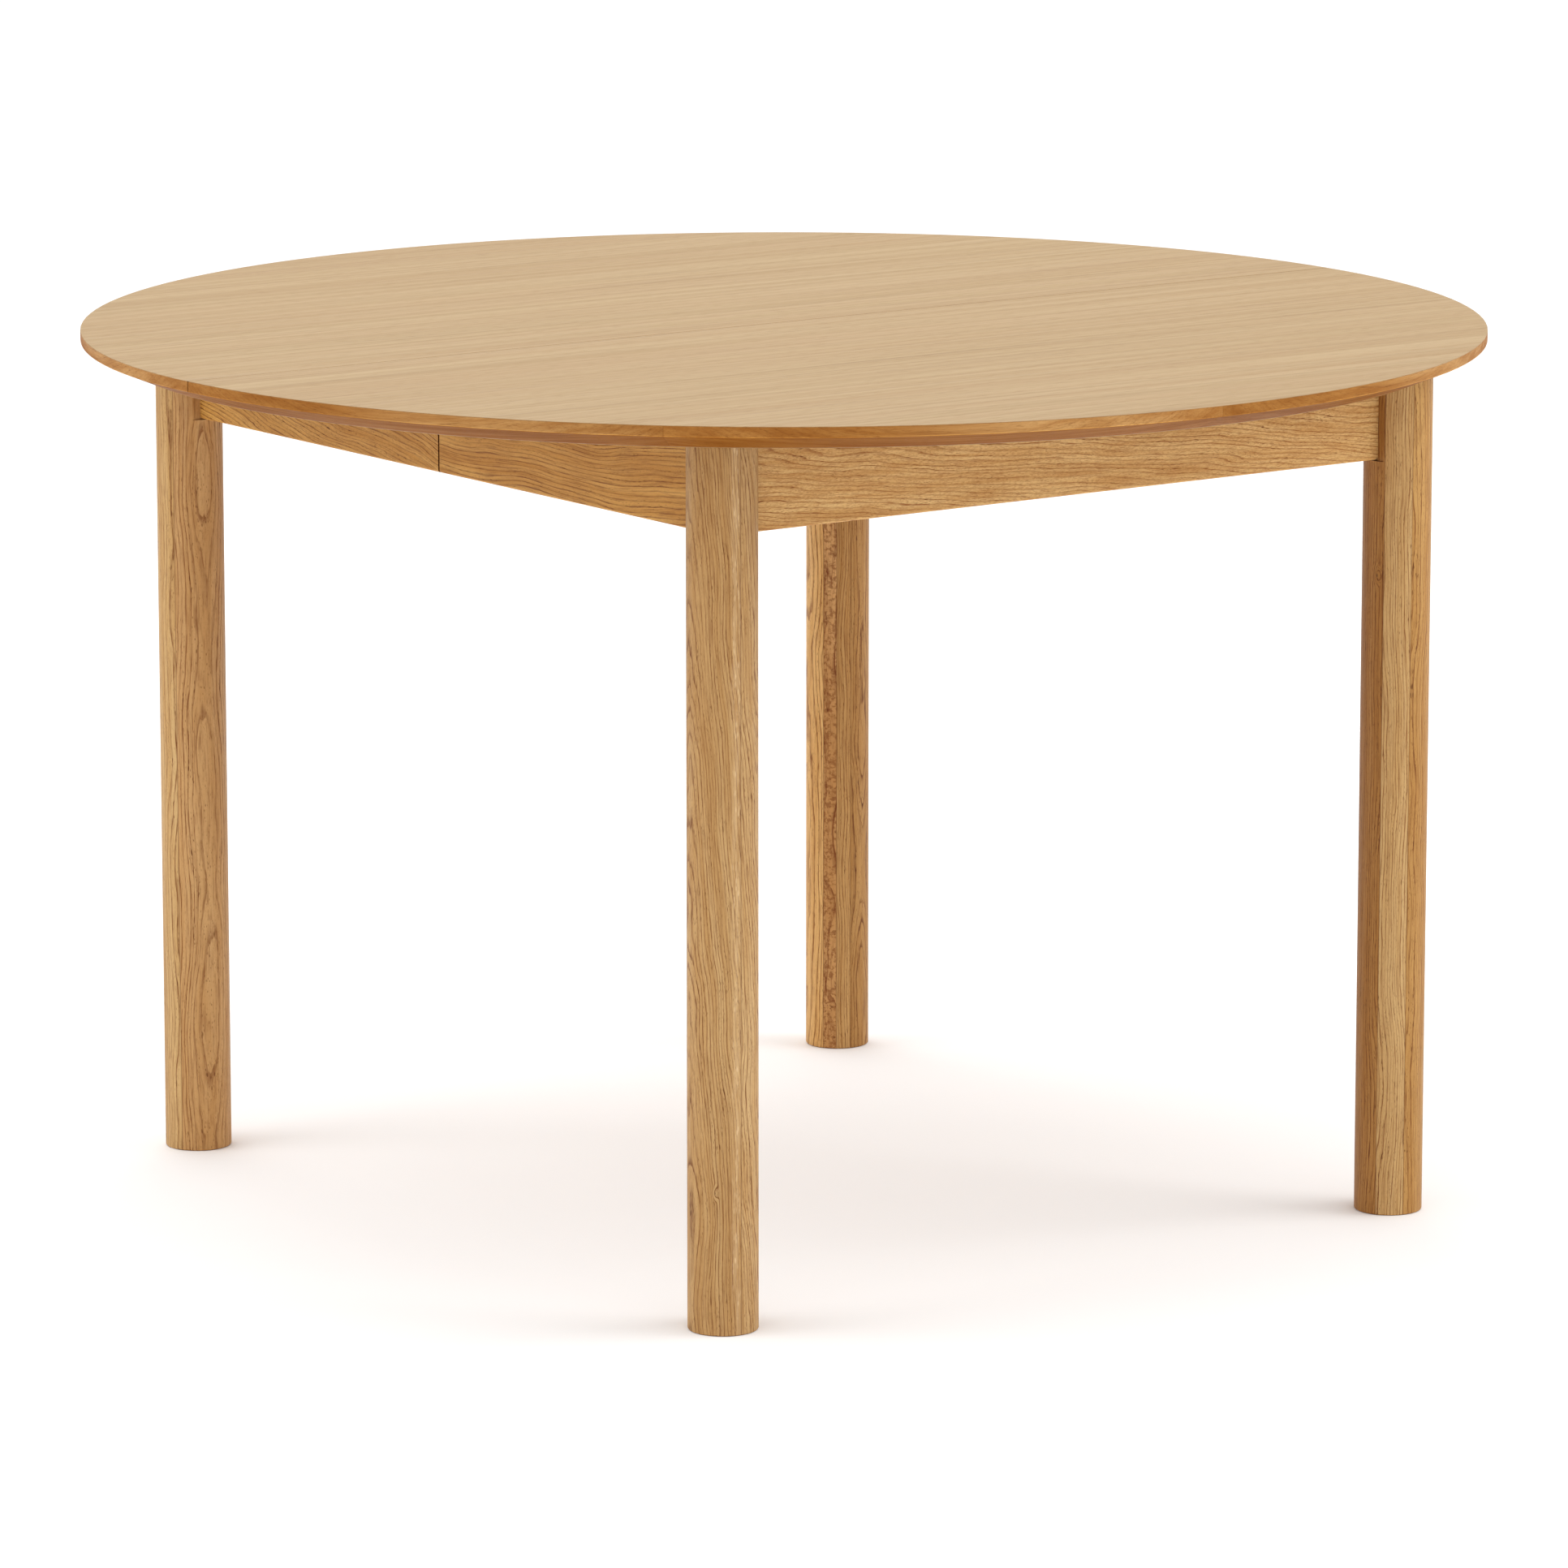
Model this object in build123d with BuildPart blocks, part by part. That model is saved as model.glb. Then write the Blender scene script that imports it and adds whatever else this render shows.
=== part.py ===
from build123d import *
import os
from math import sqrt

# Round split-top extension table. X runs along the joint between the two halves of the top, Y is the
# way the halves pull apart, Z is up. The origin is on the floor below the middle of the closed table.
# Millimetres throughout.

# ---------------------------------------------------------------- driving dimensions
table_height = 750
top_radius = 600
top_thickness = 22
travel = 500  # how far the halves pull apart

leg_x = 350  # leg axes, from the middle of the table
leg_y = 400
leg_radius = 29
apron_height = 76
apron_thickness = 18
apron_proud = 5  # aprons' outer faces stand this far outside the legs' axis lines

# top
veneer_thickness = 0.6
edge_height = 9  # upright part of the rim, with the face veneer
bevel_inset = 32  # the underside is bevelled back from the rim by this much
lipping_width = 40  # solid wood round the rim and along the joint
arris_rounding = 0.8  # lower edge of the upright rim
top_gap = 1.0  # joint between the halves of the top
apron_gap = 2.0  # joint between the halves of the side aprons
dowel_radius = 4
dowel_buried = 20
dowel_proud = 12
dowel_clearance = 0.3
dowel_places = [-420, -130, 130, 420]

# legs
foot_rounding = 1.8
flat_depth = 3  # flats milled on the leg where the aprons butt against it
shoulder_gap = 0.8  # shadow gap between the leg's shoulder and the apron's lower edge
apron_rounding = 2.5

# corner joints: pressed steel bracket, hanger bolts, washers and nuts
bracket_standoff = 35  # from the leg's axis to the bracket, along the diagonal
bracket_thickness = 2
bracket_height = 60
bracket_reach = 75  # from the leg's axis to the wing's end
bolt_radius = 4
bolt_spacing = 36
wing_screw_spacing = 32
wing_screw_along = 58  # from the leg's axis, along the apron
bolt_start = -6  # along the diagonal, from the leg's axis
bolt_end = 50
washer_radius = 8
washer_thickness = 1.6
nut_across_flats = 13
nut_height = 6.5

# screws
screw_radius = 2
screw_head_radius = 4
screw_head_height = 2.2
top_screw_tip = 7  # wood left above a screw that goes up into the top
bracket_screw_length = 15
cross_slot_length = 4.4
cross_slot_width = 0.9
cross_slot_depth = 1.3

# cleats glued inside the aprons, under the top
cleat_size = 18
cleat_joint_end = 20  # side cleats stop short of the joint by this much
cleat_clearance = 5  # and short of the corner brackets by this much
side_screw_places = [60, 170, 280]
end_screw_places = [-225, 0, 225]

# runners: a rail fixed to each half and a middle rail between them
runner_x = 220
rail_width = 26
rail_height = 36
rail_length = 600
packer_thickness = 3
packer_length = 44
rail_clearance = 0.3
groove_clearance = 0.4
rail_chamfer = 1
tongue_depth = 8
tongue_root = 10
tongue_tip = 14
stop_play = 0.5
stop_pin_radius = 2.5
stop_pin_inset = 8
rail_screw_places = [60, 170, 280]
rail_bore_radius = 5
rail_bore_depth = 16

# swing locks under the joint
lock_x = 100
lock_pivot_y = 28
lock_reach = 50
lock_plate = 3
hook_eye = 11  # radius of the plate round the pivot
hook_width = 16
hook_head = 24
hook_head_width = 28
hook_rounding = 3
hook_slot_turn = 40  # degrees that the slot curves through, out past the head's edge
hook_tab = 14  # finger tab, bent down at the back of the head
hook_tab_drop = 10
lock_clearance = 0.3
lock_head_radius = 6
lock_head_height = 2.3
lock_shank_radius = 3
lock_slot_length = 7
lock_slot_width = 1.2
pivot_clearance = 0.05
lock_spacer_radius = 7
lock_spacer_height = 2.7

# ---------------------------------------------------------------- levels and faces worked out from those
underside = table_height - top_thickness
board_top = table_height - veneer_thickness
board_bottom = underside + veneer_thickness
bevel_top = table_height - edge_height
apron_bottom = underside - apron_height
apron_middle = (underside + apron_bottom) / 2
flat_distance = leg_radius - flat_depth
apron_inner = apron_thickness - apron_proud  # from the leg's axis line, towards the middle of the table
apron_centre = apron_inner - apron_thickness / 2
core_radius = top_radius - lipping_width
bevel_foot = top_radius - bevel_inset
bevel_slope = bevel_inset / (top_thickness - edge_height)
cleat_bottom = underside - cleat_size
screw_top = table_height - top_screw_tip
rail_top = underside - packer_thickness
rail_bottom = rail_top - rail_height
rail_middle = (rail_top + rail_bottom) / 2
rail_pitch = rail_width + rail_clearance
dowel_level = underside + top_thickness / 2
lock_top = underside - lock_spacer_height - lock_clearance
lock_bottom = lock_top - lock_plate
lock_head_top = lock_bottom - lock_clearance

halves = {"front": -1, "rear": 1}
sides = {"left": -1, "right": 1}
low = (Align.CENTER, Align.CENTER, Align.MIN)
high = (Align.CENTER, Align.CENTER, Align.MAX)

os.makedirs("parts", exist_ok=True)


def save(builder, name):
    """Labels a finished piece and writes it under its own name."""
    builder.part.label = name
    export_step(builder.part, f"parts/{name}.step")


def facing_out(y_sign, distance):
    """Plane parallel to the joint between the halves, facing the outer end of one half."""
    return Plane(origin=(0, y_sign * distance, 0), z_dir=(0, y_sign, 0))


def from_leg(x_sign, y_sign, inward_x, inward_y):
    """Point measured from a leg's axis towards the middle of the table."""
    return (x_sign * (leg_x - inward_x), y_sign * (leg_y - inward_y))


def cross_slots(length, width):
    """Cross recess in the heads of screws, cut where the surrounding Locations put it."""
    Box(width, length, cross_slot_depth, align=low, mode=Mode.SUBTRACT)
    Box(length, width, cross_slot_depth, align=low, mode=Mode.SUBTRACT)


def screw_holes(places, start):
    """Pilot holes for screws that come up from below."""
    with Locations(*[(x, y, start) for x, y in places]):
        Cylinder(screw_radius, screw_top - start, align=low, mode=Mode.SUBTRACT)


def cleat_screw_places(y_sign):
    """Where screws pass through the three cleats of one half."""
    side_x = leg_x - apron_inner - cleat_size / 2
    end_y = leg_y - apron_inner - cleat_size / 2
    along_sides = [(x * side_x, y_sign * y) for x in sides.values() for y in side_screw_places]
    return along_sides + [(x, y_sign * end_y) for x in end_screw_places]


def rail_x(x_sign, y_sign):
    """Middle of a fixed rail: the rear half's rails run outside the middle rails, the front's inside."""
    return x_sign * (runner_x + y_sign * rail_pitch)


def rail_screw_points(y_sign):
    """Where screws pass through the rails fixed to one half."""
    return [(rail_x(x, y_sign), y_sign * y) for x in sides.values() for y in rail_screw_places]


def lock_screw_points(y_sign):
    """The lock's pivot screws are in the rear half and its catch pins in the front half."""
    lock_y = lock_pivot_y if y_sign > 0 else lock_pivot_y - lock_reach
    return [(x * lock_x, lock_y) for x in sides.values()]


def top_screw_points(y_sign):
    """Every screw that enters one half of the top."""
    return core_screw_points(y_sign) + lock_screw_points(y_sign)


def core_screw_points(y_sign):
    """Screws that enter the core board: all but the locks', which enter the joint's lipping."""
    return cleat_screw_places(y_sign) + rail_screw_points(y_sign)


def dowel_planes(y, y_sign):
    """Upright planes at the dowels' ends, facing along Y, one for each dowel."""
    return [Plane(origin=(x, y, dowel_level), x_dir=(1, 0, 0), z_dir=(0, y_sign, 0)) for x in dowel_places]


def dowel_bore(y_sign):
    """Radius and depth of one half's dowel holes: tight in the front half, a free fit in the rear."""
    if y_sign < 0:
        return dowel_radius, dowel_buried
    return dowel_radius + dowel_clearance, dowel_proud + 2


# ---------------------------------------------------------------- top, one half at a time
def core_board(y_sign):
    """Board inside the lippings, with pilot holes for the screws that come up into it."""
    with BuildPart() as board:
        with Locations((0, 0, board_bottom)):
            Cylinder(core_radius, board_top - board_bottom, align=low)
        split(bisect_by=facing_out(y_sign, top_gap / 2 + lipping_width), keep=Keep.TOP)
        screw_holes(core_screw_points(y_sign), board_bottom)
    return board


def joint_lipping(y_sign):
    """Straight solid strip along the joint, with the dowel holes and the lock screws' pilot holes."""
    radius, depth = dowel_bore(y_sign)
    with BuildPart() as strip:
        with Locations((0, 0, board_bottom)):
            Cylinder(core_radius, board_top - board_bottom, align=low)
        split(bisect_by=facing_out(y_sign, top_gap / 2), keep=Keep.TOP)
        split(bisect_by=facing_out(y_sign, top_gap / 2 + lipping_width), keep=Keep.BOTTOM)
        screw_holes(lock_screw_points(y_sign), board_bottom)
        with Locations(*dowel_planes(0, y_sign)):
            Cylinder(radius, depth, align=low, mode=Mode.SUBTRACT)
    return strip


def rim_lipping(y_sign):
    """Solid rim: upright at the edge, then bevelled back to the underside."""
    section = [
        (core_radius, board_bottom),
        (bevel_foot + bevel_slope * veneer_thickness, board_bottom),
        (top_radius, bevel_top),
        (top_radius, board_top),
        (core_radius, board_top),
    ]
    with BuildPart() as rim:
        with BuildSketch(Plane.XZ):
            with BuildLine():
                Polyline(*section, close=True)
            make_face()
        revolve(axis=Axis.Z)
        circles = rim.edges().filter_by(GeomType.CIRCLE)
        fillet(circles.filter_by_position(Axis.Z, bevel_top - 0.1, bevel_top + 0.1), arris_rounding)
        split(bisect_by=facing_out(y_sign, top_gap / 2), keep=Keep.TOP)
    return rim


def face_veneer(y_sign):
    """Leaf over the board and its lippings, with an eased edge all round."""
    with BuildPart() as veneer:
        with Locations((0, 0, board_top)):
            Cylinder(top_radius, veneer_thickness, align=low)
        split(bisect_by=facing_out(y_sign, top_gap / 2), keep=Keep.TOP)
        fillet(veneer.edges().group_by(Axis.Z)[-1], veneer_thickness * 0.6)
    return veneer


def backing_veneer(y_sign):
    """Leaf on the underside that keeps the board flat, cut back along the bevel."""
    with BuildPart() as veneer:
        with Locations((0, 0, underside)):
            Cone(bevel_foot, bevel_foot + bevel_slope * veneer_thickness, veneer_thickness, align=low)
        split(bisect_by=facing_out(y_sign, top_gap / 2), keep=Keep.TOP)
        with Locations(*[(x, y, underside) for x, y in top_screw_points(y_sign)]):
            Cylinder(screw_radius, veneer_thickness, align=low, mode=Mode.SUBTRACT)
    return veneer


def aligning_dowels():
    """Dowels glued into the front half, which enter holes in the rear half."""
    with BuildPart() as dowels:
        with Locations(*dowel_planes(-dowel_buried, 1)):
            Cylinder(dowel_radius, dowel_buried + dowel_proud, align=low)
        chamfer(dowels.edges().group_by(Axis.Y)[-1], 1.2)
    return dowels


# ---------------------------------------------------------------- legs and aprons
def bolt_levels():
    """Heights of the two hanger bolts in each corner."""
    return [apron_middle - bolt_spacing / 2, apron_middle + bolt_spacing / 2]


def bolt_plane(x_sign, y_sign, level, distance):
    """Plane across a corner's bolt line, facing the middle of the table along the diagonal."""
    shift = distance / sqrt(2)
    x, y = from_leg(x_sign, y_sign, shift, shift)
    return Plane(origin=(x, y, level), x_dir=(0, 0, 1), z_dir=(-x_sign, -y_sign, 0))


def bolt_planes(corners, distance):
    """The bolt planes of several corners."""
    return [bolt_plane(x, y, level, distance) for x, y in corners for level in bolt_levels()]


def leg(x_sign, y_sign):
    """Turned post with two milled flats for the aprons, a shoulder below them, and bolt holes."""
    x, y = from_leg(x_sign, y_sign, 0, 0)
    shoulder = apron_bottom - shoulder_gap
    with BuildPart() as post:
        with Locations((x, y, 0)):
            Cylinder(leg_radius, underside, align=low)
        fillet(post.edges().filter_by(GeomType.CIRCLE).group_by(Axis.Z)[0], foot_rounding)
        with Locations((*from_leg(x_sign, y_sign, leg_radius, 0), shoulder)):
            Box(2 * flat_depth, 2 * leg_radius, underside - shoulder, align=low, mode=Mode.SUBTRACT)
        with Locations((*from_leg(x_sign, y_sign, 0, leg_radius), shoulder)):
            Box(2 * leg_radius, 2 * flat_depth, underside - shoulder, align=low, mode=Mode.SUBTRACT)
        with Locations(*bolt_planes([(x_sign, y_sign)], bolt_start)):
            Cylinder(bolt_radius, leg_radius - bolt_start + 1, align=low, mode=Mode.SUBTRACT)
    return post


def ease_apron(board):
    """Rounds the lower edges, apart from the ones where two half aprons meet."""
    lower = board.edges().group_by(Axis.Z)[0]
    fillet(lower.filter_by(lambda edge: abs(edge.center().Y) > apron_gap), apron_rounding)


def side_apron(x_sign, y_sign):
    """Half of a side apron, from the leg's flat to the joint between the halves."""
    start = apron_gap / 2
    end = leg_y - flat_distance
    place = (x_sign * (leg_x - apron_centre), y_sign * (start + end) / 2, apron_middle)
    with BuildPart() as board:
        with Locations(place):
            Box(apron_thickness, end - start, apron_height)
        ease_apron(board)
        pilot_holes(side_wing_planes(x_sign, y_sign))
    return board


def end_apron(y_sign):
    """Whole apron across one end of the table."""
    with BuildPart() as board:
        with Locations((0, y_sign * (leg_y - apron_centre), apron_middle)):
            Box(2 * (leg_x - flat_distance), apron_thickness, apron_height)
        ease_apron(board)
        pilot_holes([plane for x in sides.values() for plane in end_wing_planes(x, y_sign)])
    return board


# ---------------------------------------------------------------- corner joints
def wing_screw_levels():
    """Heights of the two screws in each wing."""
    return [apron_middle - wing_screw_spacing / 2, apron_middle + wing_screw_spacing / 2]


def side_wing_planes(x_sign, y_sign):
    """Planes on a side apron's inner face at one corner, facing outwards, one for each wing screw."""
    x, y = from_leg(x_sign, y_sign, apron_inner, wing_screw_along)
    return [Plane(origin=(x, y, z), x_dir=(0, 0, 1), z_dir=(x_sign, 0, 0)) for z in wing_screw_levels()]


def end_wing_planes(x_sign, y_sign):
    """The same on the end apron's inner face."""
    x, y = from_leg(x_sign, y_sign, wing_screw_along, apron_inner)
    return [Plane(origin=(x, y, z), x_dir=(0, 0, 1), z_dir=(0, y_sign, 0)) for z in wing_screw_levels()]


def wing_planes(x_sign, y_sign):
    """All four wing screws' planes at one corner."""
    return side_wing_planes(x_sign, y_sign) + end_wing_planes(x_sign, y_sign)


def pilot_holes(planes):
    """Pilot holes in an apron for the bracket's screws."""
    with Locations(*planes):
        Cylinder(screw_radius, bracket_screw_length, align=low, mode=Mode.SUBTRACT)


def corner_bracket(x_sign, y_sign):
    """Folded steel plate across the corner, with a wing on each apron."""
    reach = bracket_reach
    corner = bracket_standoff * sqrt(2) - apron_inner
    back = apron_inner + bracket_thickness
    back_corner = (bracket_standoff + bracket_thickness) * sqrt(2) - back
    outline = [
        (apron_inner, reach),
        (apron_inner, corner),
        (corner, apron_inner),
        (reach, apron_inner),
        (reach, back),
        (back_corner, back),
        (back, back_corner),
        (back, reach),
    ]
    with BuildPart() as bracket:
        with BuildSketch(Plane.XY.offset(apron_middle - bracket_height / 2)):
            with BuildLine():
                Polyline(*[from_leg(x_sign, y_sign, *point) for point in outline], close=True)
            make_face()
        extrude(amount=bracket_height)
        with Locations(*bolt_planes([(x_sign, y_sign)], bracket_standoff - 1)):
            Cylinder(bolt_radius, bracket_thickness + 2, align=low, mode=Mode.SUBTRACT)
        with Locations(*wing_planes(x_sign, y_sign)):
            Cylinder(screw_radius, bracket_thickness, align=high, mode=Mode.SUBTRACT)
    return bracket


def corners_of(y_sign):
    """Both corners of one half."""
    return [(x, y_sign) for x in sides.values()]


def hanger_bolts(y_sign):
    """Studs screwed into the legs, through the brackets."""
    with BuildPart() as bolts:
        with Locations(*bolt_planes(corners_of(y_sign), bolt_start)):
            Cylinder(bolt_radius, bolt_end - bolt_start, align=low)
    return bolts


def washers(y_sign):
    """Plain washers under the nuts."""
    with BuildPart() as rings:
        with Locations(*bolt_planes(corners_of(y_sign), bracket_standoff + bracket_thickness)):
            Cylinder(washer_radius, washer_thickness, align=low)
            Cylinder(bolt_radius, washer_thickness, align=low, mode=Mode.SUBTRACT)
    return rings


def nuts(y_sign):
    """Hexagon nuts that draw the legs against the aprons."""
    seat = bracket_standoff + bracket_thickness + washer_thickness
    with BuildPart() as hexes:
        for plane in bolt_planes(corners_of(y_sign), seat):
            with BuildSketch(plane):
                RegularPolygon(nut_across_flats / 2, 6, major_radius=False)
                Circle(bolt_radius, mode=Mode.SUBTRACT)
            extrude(amount=nut_height)
    return hexes


def bracket_screws(y_sign):
    """Pan-head screws that hold the brackets' wings to the aprons."""
    planes = [plane for x in sides.values() for plane in wing_planes(x, y_sign)]
    heads = [plane.offset(-bracket_thickness) for plane in planes]
    with BuildPart() as screws:
        with Locations(*planes):
            Cylinder(screw_radius, bracket_screw_length, align=low)
            Cylinder(screw_radius, bracket_thickness, align=high)
        with Locations(*heads):
            Cylinder(screw_head_radius, screw_head_height, align=high)
        with Locations(*[head.offset(-screw_head_height) for head in heads]):
            cross_slots(cross_slot_length, cross_slot_width)
    return screws


# ---------------------------------------------------------------- cleats
def cleats(y_sign):
    """Square strips glued inside the aprons, through which the top is screwed down."""
    side_length = leg_y - bracket_reach - cleat_clearance - cleat_joint_end
    side_middle = y_sign * (cleat_joint_end + side_length / 2)
    end_length = 2 * (leg_x - bracket_reach - cleat_clearance)
    with BuildPart() as strips:
        for x_sign in sides.values():
            with Locations((x_sign * (leg_x - apron_inner - cleat_size / 2), side_middle, cleat_bottom)):
                Box(cleat_size, side_length, cleat_size, align=low)
        with Locations((0, y_sign * (leg_y - apron_inner - cleat_size / 2), cleat_bottom)):
            Box(end_length, cleat_size, cleat_size, align=low)
        with Locations(*[(x, y, cleat_bottom) for x, y in cleat_screw_places(y_sign)]):
            Cylinder(screw_radius, cleat_size, align=low, mode=Mode.SUBTRACT)
            Cone(screw_head_radius, screw_radius, screw_head_height, align=low, mode=Mode.SUBTRACT)
    return strips


def top_screws(y_sign):
    """Countersunk screws up through the cleats into the top."""
    with BuildPart() as screws:
        with Locations(*[(x, y, cleat_bottom) for x, y in cleat_screw_places(y_sign)]):
            Cone(screw_head_radius, screw_radius, screw_head_height, align=low)
            Cylinder(screw_radius, screw_top - cleat_bottom, align=low)
            cross_slots(cross_slot_length, cross_slot_width)
    return screws


# ---------------------------------------------------------------- runners
def dovetail(mouth_x, direction, clearance):
    """Outline of a tongue that starts at mouth_x and widens as it enters the middle rail."""
    root = tongue_root / 2 + clearance
    tip = tongue_tip / 2 + clearance
    end_x = mouth_x + direction * (tongue_depth + clearance)
    return [
        (mouth_x, rail_middle - root),
        (end_x, rail_middle - tip),
        (end_x, rail_middle + tip),
        (mouth_x, rail_middle + root),
    ]


def fixed_rail(x_sign, y_sign):
    """Rail screwed under one half, with a dovetail tongue that runs in the middle rail.

    The tongue stops short so that the middle rail's stop pin meets its end at full travel."""
    middle = rail_x(x_sign, y_sign)
    towards_middle = -x_sign * y_sign
    face_x = middle + towards_middle * rail_width / 2
    pin_y = rail_length / 2 - stop_pin_inset
    tongue_end = pin_y - travel / 2 - stop_pin_radius - stop_play
    tongue_start = Plane(origin=(0, -y_sign * rail_length / 2, 0), x_dir=(1, 0, 0), z_dir=(0, -1, 0))
    with BuildPart() as rail:
        with Locations((middle, 0, rail_middle)):
            Box(rail_width, rail_length, rail_height)
        chamfer(rail.edges().filter_by(Axis.Y), rail_chamfer)
        with BuildSketch(tongue_start):
            with BuildLine():
                Polyline(*dovetail(face_x, towards_middle, 0), close=True)
            make_face()
        extrude(amount=-y_sign * (rail_length / 2 + tongue_end))
        with Locations(*[(middle, y_sign * y, rail_bottom) for y in rail_screw_places]):
            Cylinder(screw_radius, rail_height, align=low, mode=Mode.SUBTRACT)
            Cylinder(rail_bore_radius, rail_bore_depth, align=low, mode=Mode.SUBTRACT)
    return rail


def middle_rail(x_sign):
    """Rail with a dovetail groove on each side and holes for its two stop pins."""
    faces = {1: runner_x + rail_width / 2, -1: runner_x - rail_width / 2}
    with BuildPart() as rail:
        with Locations((x_sign * runner_x, 0, rail_middle)):
            Box(rail_width, rail_length, rail_height)
        chamfer(rail.edges().filter_by(Axis.Y), rail_chamfer)
        for outward, face_x in faces.items():
            with BuildSketch(Plane.XZ):
                with BuildLine():
                    Polyline(*dovetail(x_sign * face_x, -x_sign * outward, groove_clearance), close=True)
                make_face()
            extrude(amount=rail_length, both=True, mode=Mode.SUBTRACT)
        with Locations(*stop_pin_points(x_sign)):
            Cylinder(stop_pin_radius, rail_height, align=low, mode=Mode.SUBTRACT)
    return rail


def stop_pin_points(x_sign):
    """Lower ends of the two stop pins: outer groove at the rear, inner groove at the front."""
    pin_y = rail_length / 2 - stop_pin_inset
    shift = rail_width / 2 - tongue_depth / 2
    return [
        (x_sign * (runner_x + shift), pin_y, rail_bottom),
        (x_sign * (runner_x - shift), -pin_y, rail_bottom),
    ]


def stop_pins(x_sign):
    """Steel pins driven across the grooves of a middle rail."""
    with BuildPart() as pins:
        with Locations(*stop_pin_points(x_sign)):
            Cylinder(stop_pin_radius, rail_height, align=low)
    return pins


def rail_packers(y_sign):
    """Thin blocks that hold the rails just below the top, so that the other half passes over them."""
    with BuildPart() as packers:
        with Locations(*[(x, y, rail_top) for x, y in rail_screw_points(y_sign)]):
            Box(rail_width, packer_length, packer_thickness, align=low)
            Cylinder(screw_radius, packer_thickness, align=low, mode=Mode.SUBTRACT)
    return packers


def rail_screws(y_sign):
    """Pan-head screws sunk in the rails' bores."""
    seat = rail_bottom + rail_bore_depth
    with BuildPart() as screws:
        with Locations(*[(x, y, seat) for x, y in rail_screw_points(y_sign)]):
            Cylinder(screw_radius, screw_top - seat, align=low)
            Cylinder(screw_head_radius, screw_head_height, align=high)
        with Locations(*[(x, y, seat - screw_head_height) for x, y in rail_screw_points(y_sign)]):
            cross_slots(cross_slot_length, cross_slot_width)
    return screws


# ---------------------------------------------------------------- swing locks
def lock_hook(x_sign):
    """Flat steel hook, drawn open: it lies along the joint, under the rear half.

    It turns a quarter to point forwards, and its curved slot takes in the catch pin."""
    pivot = (x_sign * lock_x, lock_pivot_y)
    head_x = x_sign * (lock_x - lock_reach)
    opens = 180 if x_sign > 0 else 0
    slot_width = 2 * (lock_shank_radius + lock_clearance)
    with BuildPart() as hook:
        with BuildSketch(Plane.XY.offset(lock_bottom)) as plate:
            with Locations(pivot):
                Circle(hook_eye)
            with Locations(((pivot[0] + head_x) / 2, lock_pivot_y)):
                Rectangle(lock_reach, hook_width)
            with Locations((head_x, lock_pivot_y)):
                Rectangle(hook_head, hook_head_width)
            corners = plate.vertices().filter_by(lambda v: abs(abs(v.X - head_x) - hook_head / 2) < 0.1)
            fillet(corners, hook_rounding)
            with Locations(pivot):
                Circle(lock_shank_radius + pivot_clearance, mode=Mode.SUBTRACT)
            slot_line = CenterArc(pivot, lock_reach, opens, x_sign * hook_slot_turn)
            SlotArc(slot_line, slot_width, mode=Mode.SUBTRACT)
        extrude(amount=lock_plate)
        with Locations((head_x, lock_pivot_y + (hook_head_width - lock_plate) / 2, lock_bottom)):
            Box(hook_tab, lock_plate, hook_tab_drop, align=high)
    return hook


def lock_screw_shape(points):
    """Shouldered screws with a round head below the hook and a shank that enters the top."""
    with Locations(*[(x, y, lock_head_top) for x, y in points]):
        Cylinder(lock_head_radius, lock_head_height, align=high)
        Cylinder(lock_shank_radius, lock_top + lock_clearance - lock_head_top, align=low)
        Cylinder(screw_radius, screw_top - lock_head_top, align=low)
    with Locations(*[(x, y, lock_head_top - lock_head_height) for x, y in points]):
        cross_slots(lock_slot_length, lock_slot_width)


def lock_pivots():
    """Shouldered screws that the hooks turn on."""
    with BuildPart() as pivots:
        lock_screw_shape(lock_screw_points(1))
    return pivots


def catch_pins():
    """Shouldered screws in the front half that the hooks catch."""
    with BuildPart() as pins:
        lock_screw_shape(lock_screw_points(-1))
    return pins


def lock_spacers(y_sign):
    """Thick washers between the shouldered screws and the top."""
    level = lock_top + lock_clearance
    with BuildPart() as spacers:
        with Locations(*[(x, y, level) for x, y in lock_screw_points(y_sign)]):
            Cylinder(lock_spacer_radius, underside - level, align=low)
            Cylinder(screw_radius, underside - level, align=low, mode=Mode.SUBTRACT)
    return spacers


# ---------------------------------------------------------------- every piece
for half, y_sign in halves.items():
    save(core_board(y_sign), f"core_board_{half}")
    save(face_veneer(y_sign), f"face_veneer_{half}")
    save(backing_veneer(y_sign), f"backing_veneer_{half}")
    save(joint_lipping(y_sign), f"joint_lipping_{half}")
    save(rim_lipping(y_sign), f"rim_lipping_{half}")
    save(end_apron(y_sign), f"end_apron_{half}")
    save(cleats(y_sign), f"cleats_{half}")
    save(top_screws(y_sign), f"top_screws_{half}")
    save(hanger_bolts(y_sign), f"hanger_bolts_{half}")
    save(washers(y_sign), f"washers_{half}")
    save(nuts(y_sign), f"nuts_{half}")
    save(bracket_screws(y_sign), f"bracket_screws_{half}")
    save(rail_packers(y_sign), f"rail_packers_{half}")
    save(rail_screws(y_sign), f"rail_screws_{half}")
    save(lock_spacers(y_sign), f"lock_spacers_{half}")
    for side, x_sign in sides.items():
        save(leg(x_sign, y_sign), f"leg_{half}_{side}")
        save(side_apron(x_sign, y_sign), f"side_apron_{half}_{side}")
        save(corner_bracket(x_sign, y_sign), f"corner_bracket_{half}_{side}")
        save(fixed_rail(x_sign, y_sign), f"rail_{half}_{side}")

for side, x_sign in sides.items():
    save(middle_rail(x_sign), f"rail_middle_{side}")
    save(stop_pins(x_sign), f"stop_pins_{side}")
    save(lock_hook(x_sign), f"lock_hook_{side}")

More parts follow.
